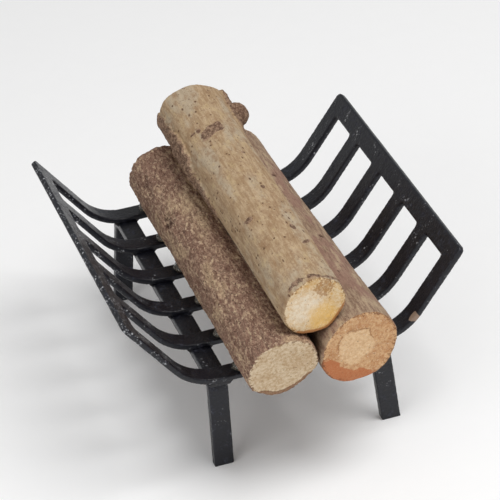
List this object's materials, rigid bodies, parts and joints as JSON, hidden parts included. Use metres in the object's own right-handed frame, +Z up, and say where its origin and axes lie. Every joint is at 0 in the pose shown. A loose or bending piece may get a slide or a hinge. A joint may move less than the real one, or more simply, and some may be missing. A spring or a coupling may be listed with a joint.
{
  "type": "dolls house log grate",
  "caption": "Miniature black steel fireplace log grate: slotted cradle plate bent up at both sides, on bent strip legs, with real twig logs glued into it.",
  "frame": {"origin": "bottom centre of the whole object's box, on the ground that the feet stand on", "axes": "+X along the bars to the right, +Y along the logs to the back, +Z up"},
  "size_m": [0.0374, 0.0454, 0.0265],
  "materials": {
    "black_steel": "semi-gloss black paint, thin and a little worn",
    "black_weld": "lumpy weld, painted over in black",
    "rough_bark": "rough dry reddish-brown bark, pale cut end",
    "smooth_bark": "fine-grained grey-tan bark, pale cut end",
    "bare_wood": "peeled dry wood with patches of bark left on",
    "clear_glue": "clear hardened glue, glossy"
  },
  "bodies": {
    "root": {"grate_plate": "black_steel", "leg_left": "black_steel", "leg_right": "black_steel", "welds_left": "black_weld", "welds_right": "black_weld", "log_left": "rough_bark", "log_right": "smooth_bark", "log_top": "bare_wood", "glue_left_log": "clear_glue", "glue_right_log": "clear_glue", "glue_top_log": "clear_glue"}
  },
  "joints": []
}
